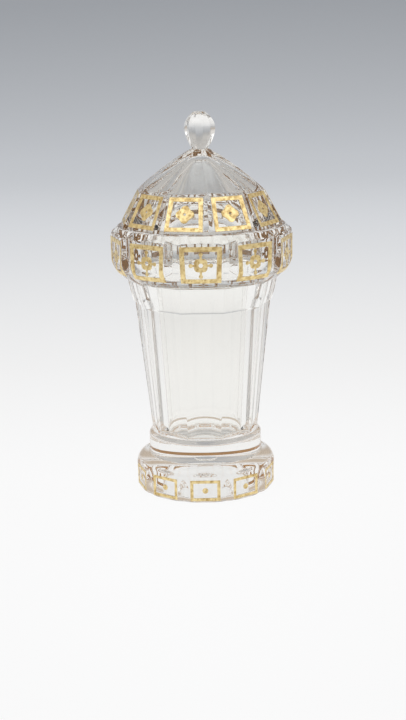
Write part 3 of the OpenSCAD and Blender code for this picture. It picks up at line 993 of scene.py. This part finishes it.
def sweep_paper(bench, finish):
    """Pale paper of the sweep: its tone to the camera, a nearer part of it to reflections and the glass, with
    a painted warm shade under the foot.
    """
    place = bench.add("ShaderNodeNewGeometry", output="Position")
    across = bench.add("ShaderNodeSeparateXYZ", inputs={0: place}, output="X")
    back, up = across.other("Y"), across.other("Z")
    rays = bench.add("ShaderNodeLightPath", output="Is Camera Ray")
    glossy = rays.other("Is Glossy Ray")
    through = glossy.most(rays.other("Is Transmission Ray"))
    deep = back.most(back * (glossy * -FRONT_WAY_GLOSSY - FRONT_WAY))
    wide = across * (glossy * SIDE_WAY_GLOSSY + SIDE_WAY)
    way = (wide * wide + deep * deep) ** 0.5 + up * RISE_WAY - (1 - rays) * NEARER
    stops = [(stop / SWEEP_LENGTH, screen_grey(level, cool)) for stop, level, cool in SWEEP_GREYS]
    greys = bench.add("ShaderNodeValToRGB", {"stops": stops}, {0: way / SWEEP_LENGTH})
    # Painted shade ring on the floor under the foot, warmed as a painted reflection of the gold
    ring = ((across * across + back * back) ** 0.5 - EDGE_SHADE_R) / EDGE_SHADE_W
    edge = (EDGE_SHADE_REACH - (ring * ring) ** 0.5).most(0).least(1)
    seen = bench.mixed(edge * EDGE_SHADE_PART, greys, (*finish.edge_shade, 1))
    glow = bench.add("ShaderNodeEmission", inputs={"Color": seen, "Strength": 1.0})
    paper = bench.add("ShaderNodeBsdfDiffuse", inputs={"Color": (*finish.paper, 1)})
    part = rays * CAMERA_TONE + (1 - rays) * through * GLASS_TONE
    return bench.add("ShaderNodeMixShader", inputs={0: part, 1: paper, 2: glow})


# Sky from straight down to straight up: place, level and how far green and blue fall behind red
WORLD_GREYS = (
    (0.0, 0.46, 0.88),
    (0.5, 0.46, 0.88),
    (0.56, 0.74, 0.96),
    (0.66, 0.74, 0.97),
    (0.8, 0.62, 0.95),
    (0.9, 0.6, 0.97),
    (1.0, 0.95, 0.99),
)

# Grey that the camera sees past the sweep, and how cool it is
PAST_SWEEP = (0.66, 0.02)


def studio_world():
    """Soft light from above, darker from below, and a plain grey where the camera looks past the sweep."""
    world = bpy.data.worlds.new("studio")
    world.use_nodes = True
    bench = Bench(world.node_tree)
    way = bench.add("ShaderNodeTexCoord", output="Generated")
    height = bench.add("ShaderNodeSeparateXYZ", inputs={0: way}, output="Z") * 0.5 + 0.5
    stops = [(stop, (level, level * tint, level * tint**2)) for stop, level, tint in WORLD_GREYS]
    sky = bench.add("ShaderNodeValToRGB", {"stops": stops}, {0: height})
    rays = bench.add("ShaderNodeLightPath", output="Is Camera Ray")
    seen = bench.mixed(rays, sky, (*screen_grey(*PAST_SWEEP), 1))
    glow = bench.add("ShaderNodeBackground", inputs={"Color": seen, "Strength": 1.0})
    bench.add("ShaderNodeOutputWorld", inputs={"Surface": glow})
    return world


# Front end, half width and height of the sweep in metres, and its steps along the floor and the bend
SWEEP_FRONT = -2.4
SWEEP_HALF_W = 2.4
SWEEP_WALL_H = 2.4
FLOOR_STEPS = 12
BEND_STEPS = 15


def add_sweep(stage):
    """Floor that bends up into a wall far behind the object."""
    floor = stage.flat - SWEEP_FRONT
    line = [(SWEEP_FRONT + floor * k / FLOOR_STEPS, 0.0) for k in range(FLOOR_STEPS)]
    angles = [math.pi / 2 * k / BEND_STEPS for k in range(BEND_STEPS + 1)]
    line += [(stage.flat + stage.bend * math.sin(a), stage.bend - stage.bend * math.cos(a)) for a in angles]
    line.append((stage.flat + stage.bend, SWEEP_WALL_H))
    points = [(x, y, z) for y, z in line for x in (-SWEEP_HALF_W, SWEEP_HALF_W)]
    faces = [(2 * k, 2 * k + 1, 2 * k + 3, 2 * k + 2) for k in range(len(line) - 1)]
    mesh = bpy.data.meshes.new("sweep")
    mesh.from_pydata(points, [], faces)
    mesh.polygons.foreach_set("use_smooth", [True] * len(faces))
    mesh.materials.append(finished("sweep_paper", sweep_paper))
    sweep = bpy.data.objects.new("sweep", mesh)
    bpy.context.scene.collection.objects.link(sweep)


# Soft lamps: name, place, side and watts
LAMPS = (
    ("key", (-0.9, -0.7, 1.2), 1.2, 4),
    ("fill", (1.0, -0.5, 0.9), 0.9, 2.2),
)


def add_lamp(name, place, side, watts):
    """Soft square lamp aimed at the middle of the object."""
    light = bpy.data.lights.new(name, "AREA")
    light.shape = "SQUARE"
    light.size = side
    light.energy = watts
    lamp = bpy.data.objects.new(name, light)
    bpy.context.scene.collection.objects.link(lamp)
    lamp.location = place
    aim = Vector((0, 0, 0.5 * TOP_Z)) - lamp.location
    lamp.rotation_euler = aim.to_track_quat("-Z", "Y").to_euler()


def add_camera(stage):
    """Camera at the photograph's place."""
    data = bpy.data.cameras.new("camera")
    data.sensor_width = 36
    data.lens = stage.lens
    camera = bpy.data.objects.new("camera", data)
    bpy.context.scene.collection.objects.link(camera)
    turn, far = stage.camera_turn, stage.camera_back
    camera.location = (far * math.sin(turn), -far * math.cos(turn), stage.camera_up)
    look = Matrix.Rotation(turn + stage.camera_aim, 4, "Z")
    look = look @ Matrix.Rotation(math.pi / 2 - stage.camera_pitch, 4, "X")
    look = look @ Matrix.Rotation(-stage.camera_roll, 4, "Z")
    camera.rotation_euler = look.to_euler()
    bpy.context.scene.camera = camera


def seat(piece, body, slot, *nodes):
    """The piece rides on its body and stands for the nodes, which are hidden; the slot is not used."""
    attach(piece, body)
    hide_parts(*nodes)


def gild_row(row, parts, place, body, turn=0.0):
    """The same gold on each panel of a row, one piece for each panel."""
    for k in range(PANELS):
        node = f"{row}_{k + 1}"
        piece = gild_panel(node + ".gold", parts, place, turn + PITCH * k)
        seat(piece, body, "gilding", node)


class POKAL_OT_beaker_glass(Operator):
    """Cut glass of the foot, the bowl and the collar, in one skin"""

    bl_idname = "pokal.beaker_glass"
    bl_label = "Beaker glass"

    def execute(self, context):
        rings = beaker_rings(context.scene.pokal_beaker)
        piece = loft("beaker_glass", rings, False, finished("cut_glass", cut_glass))
        seat(piece, "beaker", "clear_glass", "foot", "bowl", "rim_collar")
        return {"FINISHED"}


class POKAL_OT_lid_glass(Operator):
    """Cut glass of the lid and its knop, in one skin"""

    bl_idname = "pokal.lid_glass"
    bl_label = "Lid glass"

    def execute(self, context):
        rings = lid_rings(context.scene.pokal_lid)
        piece = loft("lid_glass", rings, False, finished("cut_glass", cut_glass))
        seat(piece, "lid", "clear_glass", "lid_dome", "lid_knop")
        return {"FINISHED"}


class POKAL_OT_foot_gilding(Operator):
    """Gold frames with a spot on the panels of the foot"""

    bl_idname = "pokal.foot_gilding"
    bl_label = "Foot gilding"

    def execute(self, context):
        sizes, gild = context.scene.pokal_beaker, context.scene.pokal_gilding
        width = sizes.foot_panel_w - 2 * gild.margin
        low, top = gild.foot_low, sizes.foot_panel_h - gild.foot_gap
        middle = complex(0, (low + top) / 2)
        parts = [
            frame_rings(gild, width, width, low, top, gild.foot_band),
            star_rings(gild, middle, lambda a: gild.spot_d / 2, CLOSED_EYE * gild.spot_d),
        ]
        gild_row("foot_gilding", parts, lambda x, z, h: (x, -FOOT_P - h, z), "beaker")
        return {"FINISHED"}


class POKAL_OT_collar_gilding(Operator):
    """Gold frames with a blossom on the panels of the collar"""

    bl_idname = "pokal.collar_gilding"
    bl_label = "Collar gilding"

    def execute(self, context):
        sizes, gild = context.scene.pokal_beaker, context.scene.pokal_gilding
        low = COLLAR_Z + gild.collar_low
        top = COLLAR_Z + sizes.swell_z + sizes.upright_h - gild.collar_gap
        low_w = sizes.collar_panel_w * gild.collar_taper - 2 * gild.margin
        top_w = sizes.collar_panel_w - 2 * gild.margin
        middle = complex(0, (low + top) / 2)
        parts = [
            frame_rings(gild, low_w, top_w, low, top, gild.collar_band),
            star_rings(gild, middle, blossom_radius(gild), gild.blossom_eye_d / 2),
        ]
        for k in range(PETALS):
            toward = PETAL_TURN * k
            reach = ((gild.blossom_h if k % 2 else gild.blossom_w) - gild.drop_d) / 2
            drop = middle + cmath.rect(reach, toward)
            outline = drop_radius(gild, toward + math.pi, reach - STALK_ROOT * gild.blossom_d)
            parts.append(star_rings(gild, drop, outline, CLOSED_EYE * gild.drop_d))

        def on_swell(x, z, h):
            return x, -min(COLLAR_P + h, math.sqrt(collar_turned(sizes, z, h) ** 2 - x**2)), z

        gild_row("collar_gilding", parts, on_swell, "beaker")
        return {"FINISHED"}


class POKAL_OT_lid_gilding(Operator):
    """Gold frames with a rosette on the panels of the lid"""

    bl_idname = "pokal.lid_gilding"
    bl_label = "Lid gilding"

    def execute(self, context):
        sizes, gild = context.scene.pokal_lid, context.scene.pokal_gilding
        run = Vector((sizes.across - sizes.break_across, 2 * (sizes.panel_h - sizes.edge_h))) / 2
        length = run.length
        run.normalize()
        low, top = gild.lid_low, length - gild.lid_gap

        def width(s):
            return sizes.panel_rim_w + (sizes.panel_top_w - sizes.panel_rim_w) * s / length - 2 * gild.margin

        parts = [
            frame_rings(gild, width(low), width(top), low, top, gild.lid_band),
            star_rings(gild, complex(0, (low + top) / 2), rosette_radius(gild), gild.rosette_eye_d / 2),
        ]

        def on_slope(x, s, h):
            out = sizes.across / 2 - run.x * s + run.y * h
            return x, -out, RIM_Z + sizes.edge_h + run.y * s + run.x * h

        gild_row("lid_gilding", parts, on_slope, "lid", sizes.turn)
        return {"FINISHED"}


class POKAL_OT_stage(Operator):
    """Pale sweep, soft lamps and the camera"""

    bl_idname = "pokal.stage"
    bl_label = "Stage"

    def execute(self, context):
        stage = context.scene.pokal_stage
        add_sweep(stage)
        for lamp in LAMPS:
            add_lamp(*lamp)
        add_camera(stage)
        context.scene.world = studio_world()
        context.scene.view_settings.view_transform = "Standard"
        cycles = context.scene.cycles
        cycles.max_bounces = 24
        cycles.transmission_bounces = 24
        cycles.glossy_bounces = 12
        return {"FINISHED"}


OPERATORS = (
    POKAL_OT_beaker_glass,
    POKAL_OT_lid_glass,
    POKAL_OT_foot_gilding,
    POKAL_OT_collar_gilding,
    POKAL_OT_lid_gilding,
    POKAL_OT_stage,
)
GROUPS = {
    "pokal_beaker": PokalBeakerSizes,
    "pokal_lid": PokalLidSizes,
    "pokal_gilding": PokalGildingSizes,
    "pokal_finish": PokalFinishes,
    "pokal_stage": PokalStageSettings,
}


class POKAL_PT_workshop(Panel):
    """Makes the pieces of the pokal"""

    bl_idname = "POKAL_PT_workshop"
    bl_label = "Pokal"
    bl_space_type = "VIEW_3D"
    bl_region_type = "UI"
    bl_category = "Pokal"

    def draw(self, context):
        for operator in OPERATORS:
            self.layout.operator(operator.bl_idname)


def register():
    for name, group in GROUPS.items():
        bpy.utils.register_class(group)
        setattr(bpy.types.Scene, name, PointerProperty(type=group))
    for operator in OPERATORS:
        bpy.utils.register_class(operator)
    bpy.utils.register_class(POKAL_PT_workshop)


def unregister():
    bpy.utils.unregister_class(POKAL_PT_workshop)
    for operator in reversed(OPERATORS):
        bpy.utils.unregister_class(operator)
    for name, group in GROUPS.items():
        delattr(bpy.types.Scene, name)
        bpy.utils.unregister_class(group)


def main():
    register()
    bpy.ops.pokal.beaker_glass()
    bpy.ops.pokal.lid_glass()
    bpy.ops.pokal.foot_gilding()
    bpy.ops.pokal.collar_gilding()
    bpy.ops.pokal.lid_gilding()
    bpy.ops.pokal.stage()


if __name__ == "__main__":
    main()
